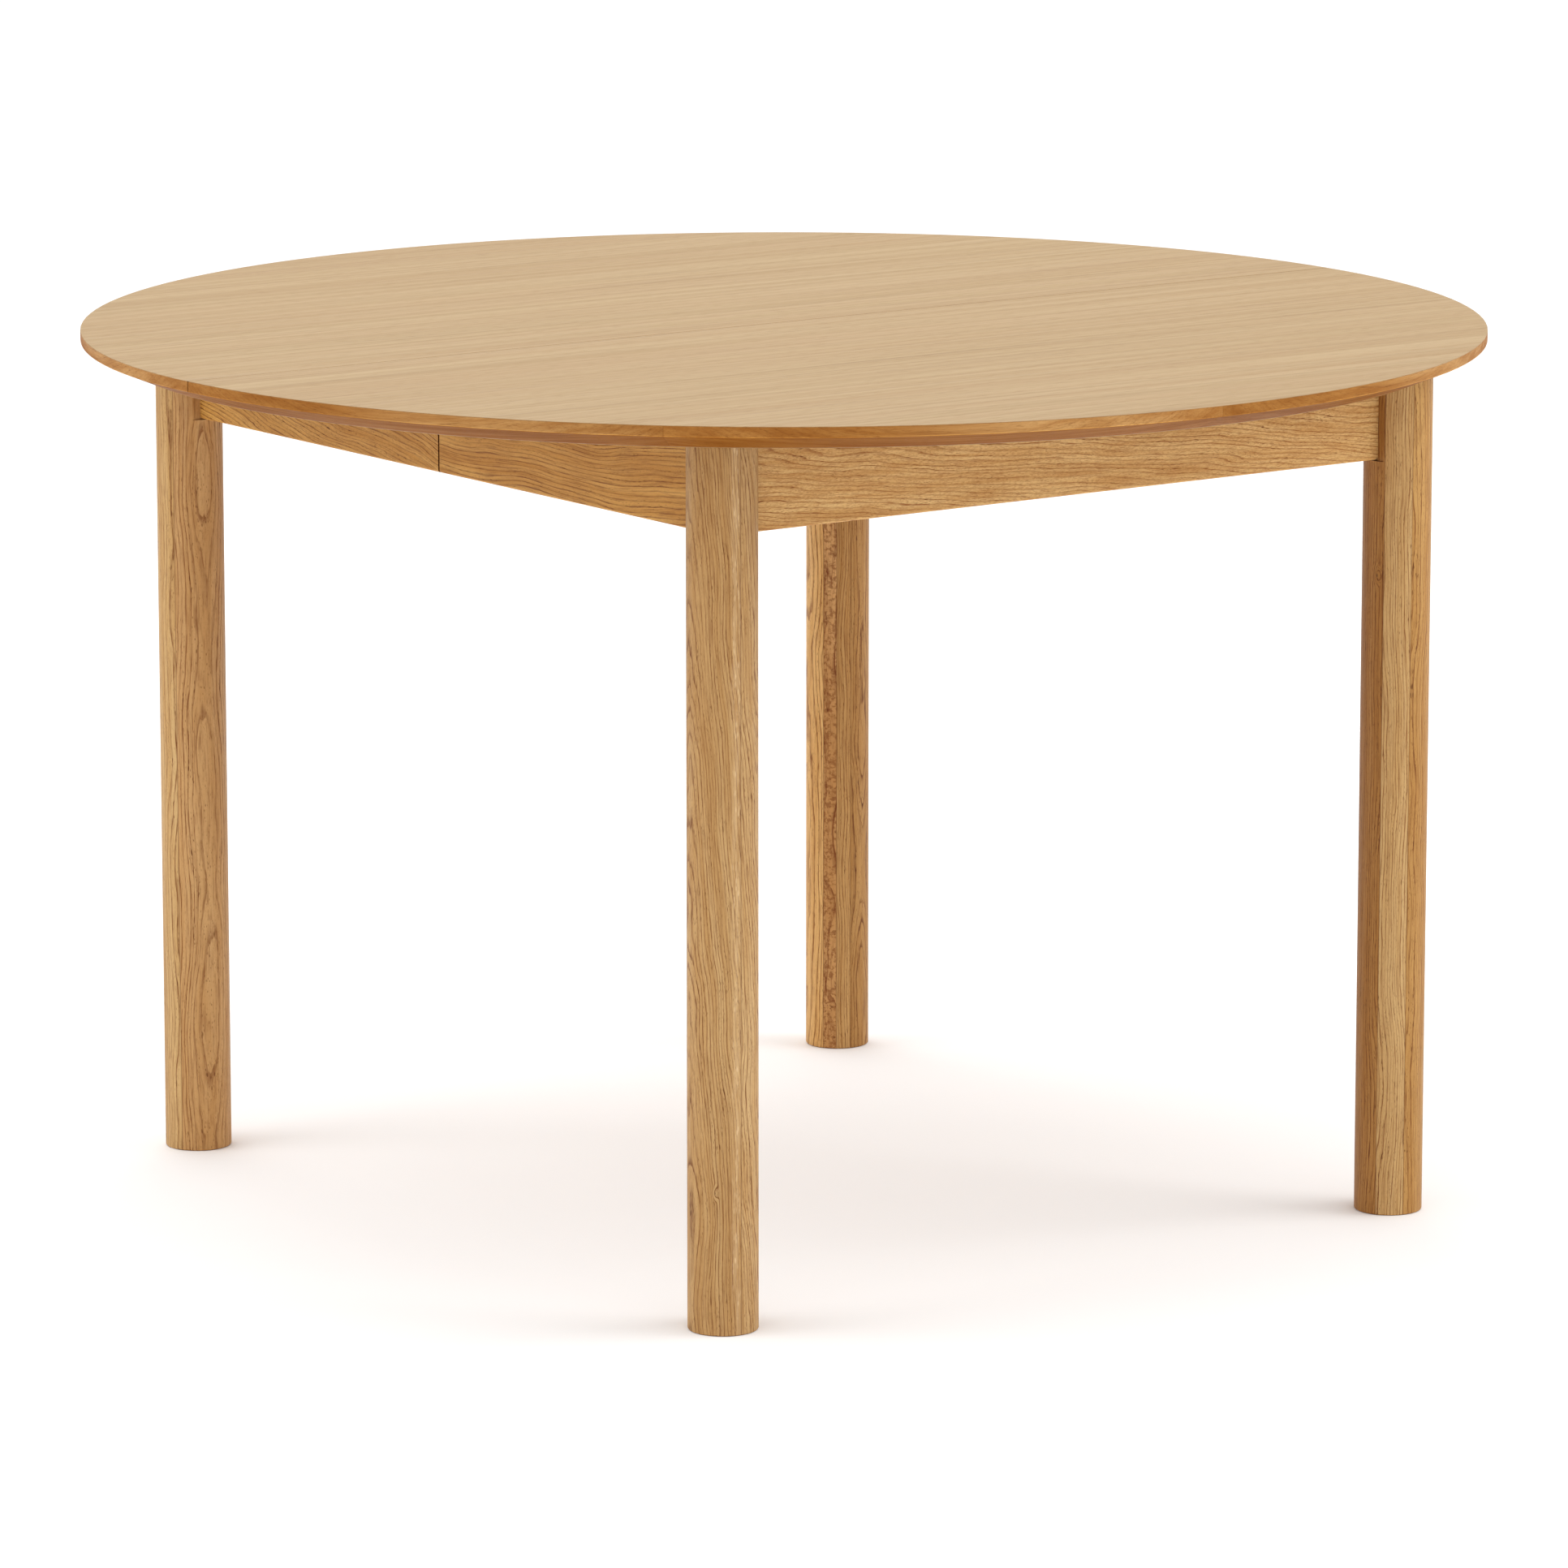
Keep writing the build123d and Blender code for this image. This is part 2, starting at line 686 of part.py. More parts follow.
save(aligning_dowels(), "aligning_dowels")
save(lock_pivots(), "lock_pivots")
save(catch_pins(), "catch_pins")
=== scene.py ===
import math
from collections import namedtuple

import bpy
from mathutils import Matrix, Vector


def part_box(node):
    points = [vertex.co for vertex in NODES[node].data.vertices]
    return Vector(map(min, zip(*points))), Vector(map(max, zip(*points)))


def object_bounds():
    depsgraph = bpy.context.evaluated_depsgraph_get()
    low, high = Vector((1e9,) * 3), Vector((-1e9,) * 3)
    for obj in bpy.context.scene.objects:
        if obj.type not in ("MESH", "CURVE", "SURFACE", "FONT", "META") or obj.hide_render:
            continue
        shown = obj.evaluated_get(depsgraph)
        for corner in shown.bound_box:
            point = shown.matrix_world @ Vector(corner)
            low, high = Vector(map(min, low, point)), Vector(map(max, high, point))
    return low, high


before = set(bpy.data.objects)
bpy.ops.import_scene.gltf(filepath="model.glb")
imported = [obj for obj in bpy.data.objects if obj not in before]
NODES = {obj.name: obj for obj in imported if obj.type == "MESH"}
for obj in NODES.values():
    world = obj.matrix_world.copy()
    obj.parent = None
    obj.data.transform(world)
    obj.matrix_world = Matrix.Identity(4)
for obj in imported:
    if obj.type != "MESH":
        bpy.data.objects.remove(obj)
CAD_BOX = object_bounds()

# Round split-top table of oak, in metres. The halves part along Y. The joint between them runs along X, and
# so does the grain of the top.

# ------------------------------------------------------------------ measures taken from the frame
HEIGHT = CAD_BOX[1].z
RADIUS = CAD_BOX[1].x


def centre(name):
    """Middle of a node's box at rest."""
    low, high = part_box(name)
    return (low + high) / 2


# ------------------------------------------------------------------ colours
def srgb(red, green, blue):
    """A colour given in 0 to 255 display values, as the linear colour that shaders take."""
    def linear(value):
        value = value / 255
        return value / 12.92 if value <= 0.04045 else ((value + 0.055) / 1.055) ** 2.4
    return (linear(red), linear(green), linear(blue), 1)


Oak = namedtuple("Oak", "light mid dark pore")
GOLDEN_OAK = Oak(srgb(227, 188, 126), srgb(210, 164, 101), srgb(140, 78, 30), srgb(106, 50, 14))
TAWNY_OAK = Oak(srgb(211, 160, 83), srgb(193, 138, 64), srgb(116, 60, 18), srgb(86, 38, 8))
LEG_OAK = Oak(srgb(201, 164, 112), srgb(190, 149, 95), srgb(112, 60, 20), srgb(88, 42, 10))
RIM_OAK = Oak(srgb(168, 116, 58), srgb(152, 98, 44), srgb(112, 62, 24), srgb(84, 42, 14))

VENEER_LIGHT = srgb(177, 149, 106)
VENEER_MID = srgb(163, 134, 91)
VENEER_STRIPE = srgb(166, 133, 91)
VENEER_STREAK = srgb(128, 96, 60)
VENEER_PORE = srgb(106, 76, 46)
KNOT_COLOUR = srgb(62, 36, 20)
FLECK_COLOUR = srgb(222, 190, 146)
CHIP_LIGHT = srgb(176, 142, 98)
CHIP_DARK = srgb(134, 98, 60)
CHIP_MID = srgb(156, 122, 80)

# Tints multiply the colour that they are laid over.
WORN_TINT = (1.22, 1.18, 1.10, 1)
BROAD_TINT = (0.88, 0.83, 0.76, 1)
END_GRAIN_TINT = (0.42, 0.36, 0.30, 1)
BOARD_END_TINT = (0.26, 0.17, 0.11, 1)
VENEER_EDGE_TINT = (0.78, 0.56, 0.36, 1)
# painted shade on the veneer's edge inside the split
SPLIT_SHADE_TINT = (0.26, 0.22, 0.20, 1)
# painted sheen on the upright edge of the rim
RIM_SHEEN_TINT = (1.50, 2.00, 3.30, 1)
# painted shade on the rim's downward-facing bevel
RIM_UNDERSIDE_SHADE = (0.81, 0.72, 0.50, 1)
RIM_END_TINT = (0.68, 0.60, 0.52, 1)
# painted highlight on the rim's rounded arrises
RIM_ARRIS_HIGHLIGHT = (1.60, 1.70, 1.60, 1)
SEGMENT_TINT = (1.12, 1.12, 1.14, 1)

# Tints of the legs' staves.
PALE = (1.10, 1.14, 1.16, 1)
ROSY = (1.08, 1.04, 1.04, 1)
TAN = (0.95, 0.93, 0.90, 1)
BRIGHT = (1.30, 1.24, 1.06, 1)
LIGHT = (1.02, 1.05, 1.10, 1)
WARM = (1.00, 0.94, 0.82, 1)
BROWN = (0.78, 0.66, 0.48, 1)
ORANGE = (0.94, 0.84, 0.63, 1)
DUSKY = (1.10, 0.98, 0.88, 1)
DEEP = (0.68, 0.51, 0.31, 1)

# How strongly each finish mirrors, as the shader's specular level.
OILED_SPECULAR = 0.18
RIM_SPECULAR = 0.03
VENEER_SPECULAR = 0.25
HIDDEN_WOOD_SPECULAR = 0.3
PARTICLE_BOARD_SPECULAR = 0.2
METAL_SPECULAR = 0.5

# Depth of each surface's relief.
PORE_DEPTH = 0.00005
VENEER_PORE_DEPTH = 0.00004
HIDDEN_WOOD_DEPTH = 0.00015
CHIP_DEPTH = 0.0003
METAL_DEPTH = 0.00004

# ------------------------------------------------------------------ node helpers
# Sockets of a Mix node by the kind of value that it mixes: first input, second input and result.
MIX_NUMBER_SOCKETS = (2, 3, 0)
MIX_COLOUR_SOCKETS = (6, 7, 2)
SEED_DIRECTION = (1.0, 1.7, 2.3)  # a seed moves a texture this way, so that no axis repeats


class Graph:
    """A short way to write a material's node tree: every call adds a node and returns its output."""

    def __init__(self, name):
        self.material = bpy.data.materials.new(name)
        self.material.use_nodes = True
        self.nodes = self.material.node_tree.nodes
        self.links = self.material.node_tree.links
        self.nodes.clear()

    def put(self, socket, value):
        """Links a node's output to a socket, or sets a plain value on it."""
        if isinstance(value, bpy.types.NodeSocket):
            self.links.new(value, socket)
        else:
            socket.default_value = value

    def place(self, origin=(0, 0, 0)):
        """X, Y and Z on the piece in metres, from an origin; they stay with the piece when it moves."""
        source = self.nodes.new("ShaderNodeTexCoord").outputs["Object"]
        node = self.nodes.new("ShaderNodeVectorMath")
        node.operation = "SUBTRACT"
        self.put(node.inputs[0], source)
        self.put(node.inputs[1], tuple(origin))
        return self.split(node.outputs[0])

    def facing(self):
        """How squarely the surface faces along X, Y and Z, each from 0 to 1."""
        parts = self.split(self.nodes.new("ShaderNodeTexCoord").outputs["Normal"])
        return tuple(self.absolute(part) for part in parts)

    def split(self, vector):
        """X, Y and Z of a vector."""
        node = self.nodes.new("ShaderNodeSeparateXYZ")
        self.put(node.inputs[0], vector)
        return tuple(node.outputs)

    def math(self, operation, a, b=0.0):
        node = self.nodes.new("ShaderNodeMath")
        node.operation = operation
        self.put(node.inputs[0], a)
        self.put(node.inputs[1], b)
        return node.outputs[0]

    def add(self, a, b):
        return self.math("ADD", a, b)

    def less(self, a, b):
        return self.math("SUBTRACT", a, b)

    def times(self, a, b):
        return self.math("MULTIPLY", a, b)

    def greater(self, a, b):
        return self.math("MAXIMUM", a, b)

    def absolute(self, value):
        return self.math("ABSOLUTE", value)

    def distance(self, a, b):
        return self.math("SQRT", self.add(self.times(a, a), self.times(b, b)))

    def steps(self, value, edges, numbers):
        """The first number below the first edge, the second between the first two edges, and so on."""
        result = numbers[0]
        for edge, before, after in zip(edges, numbers, numbers[1:]):
            result = self.add(result, self.times(self.math("GREATER_THAN", value, edge), after - before))
        return result

    def stretch(self, parts, sizes, seed=0.0):
        """A texture coordinate whose details are about as large as the given sizes, in metres."""
        node = self.nodes.new("ShaderNodeCombineXYZ")
        for socket, part, size in zip(node.inputs, parts, sizes):
            self.put(socket, self.times(part, 1 / size))
        return self.shifted(node.outputs[0], seed)

    def shifted(self, vector, seed):
        """A texture coordinate moved to a part of the texture that belongs to the seed."""
        node = self.nodes.new("ShaderNodeVectorMath")
        node.operation = "ADD"
        self.put(node.inputs[0], vector)
        self.put(node.inputs[1], tuple(seed * part for part in SEED_DIRECTION))
        return node.outputs[0]

    def noise(self, vector, detail=2.0, roughness=0.5):
        """Cloudy values about 0.5."""
        node = self.nodes.new("ShaderNodeTexNoise")
        self.put(node.inputs["Vector"], vector)
        node.inputs["Scale"].default_value = 1.0
        node.inputs["Detail"].default_value = detail
        node.inputs["Roughness"].default_value = roughness
        return node.outputs["Fac"]

    def layers(self, parts, table, seed=0.0):
        """Named layers of noise, from a table of their sizes, seeds, detail and roughness."""
        return {
            name: self.noise(self.stretch(parts, sizes, seed + own_seed), detail, roughness)
            for name, (sizes, own_seed, detail, roughness) in table.items()
        }

    def lot(self, number, step, seed):
        """One random value about 0.5 for each whole number. A different step draws different values."""
        return self.noise(self.stretch((number, 0.0, 0.0), (step, 1.0, 1.0), seed), 0.0)

    def cells(self, vector):
        """Distance to the nearest of many scattered points."""
        node = self.nodes.new("ShaderNodeTexVoronoi")
        self.put(node.inputs["Vector"], vector)
        node.inputs["Scale"].default_value = 1.0
        return node.outputs["Distance"]

    def ramp(self, value, low, high, start=0.0, end=1.0):
        """Takes value from the range low to high, smoothly to the range start to end, and stops there."""
        node = self.nodes.new("ShaderNodeMapRange")
        node.interpolation_type = "SMOOTHSTEP"
        sockets = ("Value", "From Min", "From Max", "To Min", "To Max")
        for name, number in zip(sockets, (value, low, high, start, end)):
            self.put(node.inputs[name], number)
        return node.outputs["Result"]

    def fade(self, value, low, high, start=1.0):
        """Start below low, and smoothly down to 0 at high."""
        return self.ramp(value, low, high, start, 0.0)

    def mix(self, factor, a, b, blend="MIX"):
        """Colour b laid over colour a, as strongly as the factor says."""
        first, second, result = MIX_COLOUR_SOCKETS
        node = self.nodes.new("ShaderNodeMix")
        node.data_type = "RGBA"
        node.blend_type = blend
        self.put(node.inputs["Factor"], factor)
        self.put(node.inputs[first], a)
        self.put(node.inputs[second], b)
        return node.outputs[result]

    def tint(self, factor, colour, tint):
        """Colour multiplied by a tint, as strongly as the factor says."""
        return self.mix(factor, colour, tint, "MULTIPLY")

    def bump(self, height, depth):
        """Surface normal of a relief whose height runs from 0 to 1 over the given depth, in metres."""
        node = self.nodes.new("ShaderNodeBump")
        self.put(node.inputs["Height"], height)
        node.inputs["Distance"].default_value = depth
        return node.outputs[0]

    def finish(self, colour, roughness, normal, specular, metallic=0.0):
        """Ends the tree with its shader, and returns the material."""
        shader = self.nodes.new("ShaderNodeBsdfPrincipled")
        self.put(shader.inputs["Base Color"], colour)
        self.put(shader.inputs["Roughness"], roughness)
        self.put(shader.inputs["Normal"], normal)
        shader.inputs["Metallic"].default_value = metallic
        shader.inputs["Specular IOR Level"].default_value = specular
        output = self.nodes.new("ShaderNodeOutputMaterial")
        self.links.new(shader.outputs[0], output.inputs[0])
        return self.material


def dress(material, *starts):
    """Gives a material to every node whose name begins with one of the given words."""
    for name, piece in NODES.items():
        if name.startswith(starts):
            if not piece.material_slots:
                piece.data.materials.append(material)
            for slot in piece.material_slots:
                slot.material = material


# ------------------------------------------------------------------ oak
AXES = "xyz"
# Which axes run across the grain, into the depth and lengthwise, for grain along each axis.
ALONG = {"x": (1, 2, 0), "y": (2, 0, 1)}

# Layers of noise in oak. Sizes are across the rings, into the depth and along the grain, in metres.
# After them come the layer's own seed, its levels of detail and how rough the detail is.
OAK_LAYERS = {
    "breaks": ((0.0012, 0.0012, 0.016), 1.0, 2.0, 0.5),
    "crowds": ((0.0035, 0.012, 0.055), 6.0, 2.0, 0.5),
    "soft": ((0.006, 0.006, 0.22), 2.0, 3.0, 0.5),
    "fine": ((0.0009, 0.0009, 0.03), 3.0, 3.0, 0.65),
    "curls": ((0.0012, 0.0012, 0.0034), 5.0, 2.0, 0.6),
}
LONG_PORES = (0.0015, 0.0015, 0.010)  # how far apart they lie
SHORT_PORES = (0.0010, 0.0010, 0.006)
SHORT_PORE_REACH = 0.27
LATE_PORE_REACH = 0.15
EARLY_PORE_REACH = 0.26  # added in early wood, where the pores are wide
SHORT_PORE_STRENGTH = 0.75
LONG_PORE_STRENGTH = 0.55
EARLY_PORE_STRENGTH = 0.55  # added in early wood
RING_UNEVENNESS = 2.2  # how many rings the count strays by, so that some rings are wide and some close
RING_LOTS = 0.137  # step between the random values drawn for the rings
BOARD_CLOUD = 0.11
SEAM_WIDTH = 0.0008


def turned(parts, axis):
    """Takes X, Y and Z to across the grain, into the depth and lengthwise."""
    return tuple(parts[index] for index in ALONG[axis])


def pores(g, parts, sizes, reach, seed=0.0):
    """Open pores as scattered dashes: 1 inside a dash, 0 between them. Sizes are how far apart they lie."""
    return g.fade(g.cells(g.stretch(parts, sizes, seed)), reach * 0.4, reach)


def wavered(g, ring, parts, lean, sway, ripple, seed):
    """Growth rings that lean along the trunk, sway widely and ripple closely. Sway and ripple are each
    the sizes of the waves, the levels of detail and how far the rings move."""
    ring = g.add(ring, g.times(parts[2], lean))
    for (sizes, detail, reach), own_seed in ((sway, 0.0), (ripple, 4.0)):
        wave = g.noise(g.stretch(parts, sizes, seed + own_seed), detail)
        ring = g.add(ring, g.times(g.less(wave, 0.5), reach))
    return ring


def early_wood(g, phase, end, start):
    """1 where a ring begins. It fades out by the phase at the end, and in again from that at the start."""
    return g.greater(g.fade(phase, 0.0, end), g.ramp(phase, start, 1.0))


def oak(g, parts, colours, spacing, rings, dashes, curl, seed, cloud=BOARD_CLOUD):
    """Ring-porous wood in three dimensions: colour, relief and roughness. Parts are the distance from the
    tree's heart, the depth and the length. Rings, dashes and curl are strengths from 0 to 1, and cloud is
    how far, in metres, broad changes of tone run with the grain. Pores crowd into the early wood of each
    ring, so they draw its line, or a wide band where it is cut flat."""
    layer = g.layers(parts, OAK_LAYERS, seed)
    uneven = g.noise(g.stretch(parts, (5 * spacing, 0.2, 0.6), seed), 1.0)
    count = g.add(g.times(parts[0], 1 / spacing), g.times(uneven, RING_UNEVENNESS))
    phase = g.math("FRACT", count)
    force = g.ramp(g.lot(g.math("FLOOR", count), RING_LOTS, seed), 0.32, 0.62, 0.50, 1.0)
    early = g.times(early_wood(g, phase, 0.55, 0.88), force)
    line = g.times(early_wood(g, phase, 0.36, 0.93), force)
    broken = g.ramp(layer["breaks"], 0.38, 0.60, 0.45, 1.0)
    crowd = g.ramp(layer["crowds"], 0.44, 0.62, 0.30, 1.0)
    broad = g.noise(g.stretch(parts, (0.26 * cloud, 0.36 * cloud, cloud), seed + 8.0), 2.0)
    reach = g.add(g.times(early, EARLY_PORE_REACH), LATE_PORE_REACH)
    spots = g.cells(g.stretch(parts, LONG_PORES, seed))
    long_pores = g.fade(spots, g.times(reach, 0.45), reach)
    short_pores = pores(g, parts, SHORT_PORES, SHORT_PORE_REACH, seed + 7.0)

    colour = g.mix(g.ramp(layer["soft"], 0.30, 0.70), colours.light, colours.mid)
    colour = g.mix(g.ramp(broad, 0.34, 0.66), g.tint(1.0, colour, BROAD_TINT), colour)
    colour = g.mix(g.times(g.ramp(layer["curls"], 0.45, 0.64), curl), colour, colours.dark)
    colour = g.mix(g.times(line, g.times(broken, rings)), colour, colours.dark)
    colour = g.mix(g.ramp(layer["fine"], 0.44, 0.74, 0.0, 0.50), colour, colours.dark)
    strength = g.times(crowd, SHORT_PORE_STRENGTH * dashes)
    colour = g.mix(g.times(short_pores, strength), colour, colours.pore)
    strength = g.add(g.times(early, EARLY_PORE_STRENGTH * dashes), LONG_PORE_STRENGTH * dashes)
    strength = g.times(crowd, strength)
    colour = g.mix(g.times(long_pores, strength), colour, colours.pore)

    sunk = g.add(g.times(layer["fine"], 0.4), g.greater(long_pores, g.times(short_pores, 0.6)))
    rough = g.add(g.ramp(layer["soft"], 0.2, 0.8, 0.46, 0.56), g.times(long_pores, 0.12))
    return colour, g.times(sunk, -1.0), rough


def rubbed(g, colour, rough, arris, patches):
    """Handled edges are a little paler and smoother, in uneven patches."""
    amount = g.times(arris, g.ramp(patches, 0.3, 0.7, 0.25, 0.9))
    return g.tint(amount, colour, WORN_TINT), g.less(rough, g.times(amount, 0.10))


# ------------------------------------------------------------------ aprons
# How each apron was cut: the tree's heart (up, out) from the board's middle, how steeply the grain drifts
# up the board, how far the rings sway and ripple, and how far apart they are. Then come the strengths of
# its figure.
BOARDS = {
    "side_apron_front_left": dict(
        heart=(-0.09, 0.05), tilt=-0.02, sway=0.0280, ripple=0.0024, spacing=0.0030,
        rings=1.00, dashes=0.65, curl=0.08, seed=1.3),
    "side_apron_rear_left": dict(
        heart=(-0.12, 0.05), tilt=0.16, sway=0.0320, ripple=0.0048, spacing=0.0034,
        rings=1.00, dashes=1.00, curl=0.18, seed=2.9),
    "side_apron_front_right": dict(
        heart=(0.06, -0.06), tilt=0.05, sway=0.0260, ripple=0.0044, spacing=0.0030,
        rings=0.80, dashes=0.70, curl=0.14, seed=5.1),
    "side_apron_rear_right": dict(
        heart=(0.09, -0.05), tilt=-0.04, sway=0.0240, ripple=0.0044, spacing=0.0030,
        rings=0.80, dashes=0.75, curl=0.14, seed=6.7),
    "end_apron_front": dict(
        heart=(-0.03, 0.040), tilt=0.10, sway=0.0240, ripple=0.0056, spacing=0.0036,
        rings=0.90, dashes=1.00, curl=0.30, seed=8.2),
    "end_apron_rear": dict(
        heart=(-0.05, -0.05), tilt=-0.05, sway=0.0240, ripple=0.0048, spacing=0.0034,
        rings=0.75, dashes=0.90, curl=0.24, seed=3.6),
}
BOARD_SWAY = ((0.10, 0.10, 0.20), 1.5)
BOARD_RIPPLE = ((0.010, 0.010, 0.050), 2.0)


def board_material(name, axis, colours, heart, tilt, sway, ripple, spacing, rings, dashes, curl, seed):
    """Solid oak board with its own cut: its arrises are rubbed, and its end grain took up more oil."""
    g = Graph("oak_" + name)
    across, depth, lengthwise = turned(g.place(centre(name)), axis)
    parts = (across, depth, lengthwise)
    ring = g.distance(g.less(across, heart[0]), g.less(depth, heart[1]))
    ring = wavered(g, ring, parts, -tilt, (*BOARD_SWAY, sway), (*BOARD_RIPPLE, ripple), seed)
    colour, relief, rough = oak(g, (ring, depth, lengthwise), colours, spacing, rings, dashes, curl, seed)
    facing = g.facing()
    squareness = g.greater(facing[0], g.greater(facing[1], facing[2]))
    patches = g.noise(g.stretch(parts, (0.03, 0.03, 0.05), seed), 2.0)
    colour, rough = rubbed(g, colour, rough, g.fade(squareness, 0.80, 0.98), patches)
    end = g.ramp(facing[AXES.index(axis)], 0.5, 0.9)
    colour = g.tint(end, colour, BOARD_END_TINT)
    return g.finish(colour, rough, g.bump(relief, PORE_DEPTH), OILED_SPECULAR)


# ------------------------------------------------------------------ legs
# The heart of a stave's tree lies this far across and back from the leg's axis.
Stave = namedtuple("Stave", "across back tint curl")
Knot = namedtuple("Knot", "across back up size")

# Legs: where the glued seams lie across the blank, the staves between them and the spacing of their rings.
LEGS = {
    "leg_rear_left": dict(
        seams=(-0.0125,), seed=1.7, spacing=0.0032,
        staves=(Stave(0.004, 0.30, PALE, 0.06),
                Stave(0.034, -0.060, ROSY, 0.06))),
    "leg_rear_right": dict(
        seams=(-0.0130, -0.0010, 0.0120), seed=4.4, spacing=0.0026,
        staves=(Stave(0.30, 0.04, BRIGHT, 0.04),
                Stave(0.030, 0.060, DUSKY, 0.62),
                Stave(0.30, -0.04, WARM, 0.06),
                Stave(0.05, -0.04, BROWN, 0.06))),
    "leg_front_right": dict(
        seams=(-0.0125, 0.0110), seed=7.9, spacing=0.0024,
        knot=Knot(-0.018, -0.023, 0.190, 0.0022),
        staves=(Stave(-0.05, 0.05, DEEP, 0.08),
                Stave(0.20, 0.02, PALE, 0.06),
                Stave(0.02, 0.20, ORANGE, 0.06))),
    "leg_front_left": dict(
        seams=(0.0150,), seed=9.3, spacing=0.0025, lean=0.065,
        knot=Knot(-0.006, -0.028, -0.245, 0.0016),
        flecks=0.0112,
        staves=(Stave(-0.09, -0.035, TAN, 0.06),
                Stave(-0.22, -0.03, LIGHT, 0.04))),
}
BLANK_TURN = -0.626  # radians that the glued blanks are turned about their own axes
STAVE_SHIFT = 0.31  # moves each stave to wood of its own
LEG_SWAY = ((0.09, 0.09, 0.16), 1.0, 0.022)
LEG_RIPPLE = ((0.009, 0.009, 0.050), 2.0, 0.0036)
LEG_RINGS = 1.0
LEG_DASHES = 0.85
LEG_CLOUD = 0.6
KNOT_FLATNESS = 0.45  # a knot's width over its length
KNOT_STRENGTH = 0.85
GLUE_LINE_STRENGTH = 0.45
FLECK_REACH = 0.0055
FLECK_SIZES = (0.0021, 0.0021, 0.0085)


def ray_flecks(g, colour, parts, middle, seed):
    """Streak of pale ray flecks, up the leg and at some distance across the blank."""
    near = g.fade(g.absolute(g.less(parts[0], middle)), 0.0, FLECK_REACH)
    dense = g.ramp(g.noise(g.stretch(parts, (0.003, 0.003, 0.03), seed + 3.0), 3.0), 0.36, 0.62, 0.20, 1.0)
    streak = g.add(g.times(pores(g, parts, FLECK_SIZES, 0.42, seed + 9.0), 0.50), 0.34)
    return g.mix(g.times(g.times(near, dense), streak), colour, FLECK_COLOUR)


def leg_material(name, colours, seams, staves, seed, spacing, lean=0.0, knot=None, flecks=None):
    """Leg glued up from upright staves. Each stave has its own heart, tint and curl. The grain of a leg
    may lean, and it may have a small knot. Flecks is how far across the blank a streak of flecks lies."""
    g = Graph("oak_" + name)
    x, y, z = g.place(centre(name))
    cos = math.cos(BLANK_TURN)
    sin = math.sin(BLANK_TURN)
    across = g.add(g.times(x, cos), g.times(y, sin))
    back = g.add(g.times(x, -sin), g.times(y, cos))
    number = g.steps(across, seams, range(len(staves)))
    heart_across = g.steps(across, seams, [stave.across for stave in staves])
    heart_back = g.steps(across, seams, [stave.back for stave in staves])
    curl = g.steps(across, seams, [stave.curl for stave in staves])
    depth = g.add(back, g.times(number, STAVE_SHIFT))
    parts = (across, depth, z)

    ring = g.distance(g.less(across, heart_across), g.less(back, heart_back))
    ring = wavered(g, ring, parts, lean, LEG_SWAY, LEG_RIPPLE, seed)
    if knot:
        beside = g.distance(g.less(across, knot.across), g.less(back, knot.back))
        away = g.distance(beside, g.times(g.less(z, knot.up), KNOT_FLATNESS))
        ring = g.add(ring, g.fade(away, 0.0, 2.6 * knot.size, 2.2 * knot.size))
    colour, relief, rough = oak(
        g, (ring, depth, z), colours, spacing, LEG_RINGS, LEG_DASHES, curl, seed, LEG_CLOUD)

    tint = staves[0].tint
    for edge, stave in zip(seams, staves[1:]):
        tint = g.mix(g.math("GREATER_THAN", across, edge), tint, stave.tint)
    colour = g.tint(1.0, colour, tint)
    for edge in seams:
        line = g.fade(g.absolute(g.less(across, edge)), 0.0, SEAM_WIDTH, GLUE_LINE_STRENGTH)
        colour = g.mix(line, colour, colours.pore)
    if knot:
        colour = g.mix(g.fade(away, 0.0, 0.6 * knot.size, KNOT_STRENGTH), colour, KNOT_COLOUR)
    if flecks:
        colour = ray_flecks(g, colour, parts, flecks, seed)

    patches = g.noise(g.stretch(parts, (0.02, 0.02, 0.03), seed), 2.0)
    upwards = g.facing()[2]
    colour, rough = rubbed(g, colour, rough, g.ramp(upwards, 0.02, 0.30), patches)
    colour = g.tint(g.ramp(upwards, 0.5, 0.95), colour, END_GRAIN_TINT)
    return g.finish(colour, rough, g.bump(relief, PORE_DEPTH), OILED_SPECULAR)


# ------------------------------------------------------------------ rim and face of the top
SEGMENT_ANGLE = math.radians(45)
SHEEN_ANGLE = math.radians(9)  # how far the painted sheen lies off the middle of a segment
SEGMENT_SHIFT = 0.043  # moves each segment to wood of its own
SEGMENT_LOTS = 0.173  # step between the random values drawn for the segments
RIM_SLOPE = 0.6  # how steeply the rings cross the lipping
RIM_SWAY = 0.010
RIM_SPACING = 0.0032
RIM_RINGS = 0.30
RIM_DASHES = 0.45
RIM_CURL = 0.05
RIM_SEED = 9.0
RIM_SEAM_STRENGTH = 0.22
SHEEN_STRENGTH = 0.62


